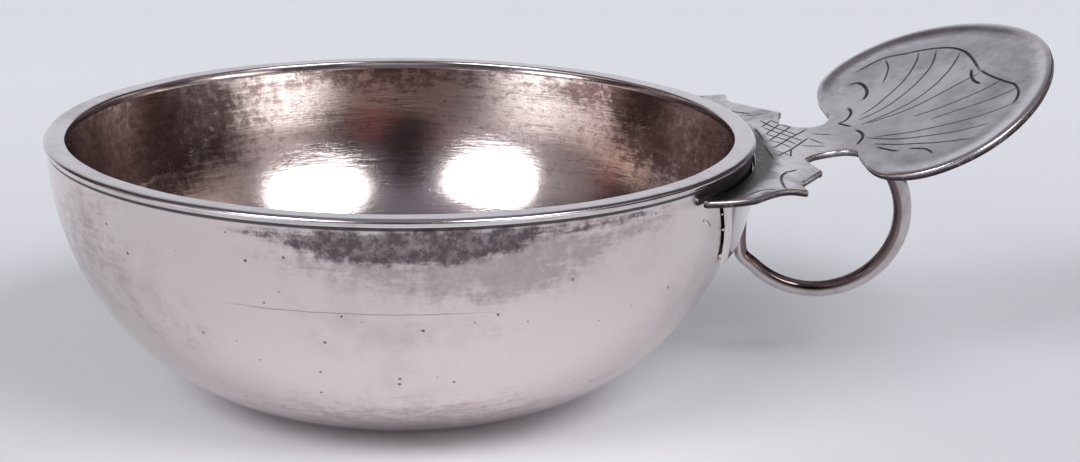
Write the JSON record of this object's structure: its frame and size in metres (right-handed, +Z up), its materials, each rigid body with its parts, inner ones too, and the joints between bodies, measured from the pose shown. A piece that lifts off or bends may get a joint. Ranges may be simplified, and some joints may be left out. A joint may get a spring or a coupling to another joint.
{
  "type": "wine taster",
  "caption": "Shallow round-bottomed silver cup with a flat strip round its mouth, an upturned thumb plate with an engraved shell, and a wire finger ring below it, for tasting wine.",
  "frame": {"origin": "centre of the flat foot, on the table", "axes": "+X out along the handle, +Z up, +Y to the side away from the camera"},
  "size_m": [0.1469, 0.102, 0.0508],
  "materials": {
    "bowl_silver": "worn polish with light tarnish",
    "strip_silver": "worn polish",
    "plate_silver": "satin with light tarnish, engraved on top",
    "saddle_silver": "worn polish",
    "ring_silver": "bright polish"
  },
  "bodies": {
    "root": {"bowl": "bowl_silver", "mouth_strip": "strip_silver", "thumb_plate": "plate_silver", "saddle_plate": "saddle_silver", "finger_ring": "ring_silver"}
  },
  "joints": []
}
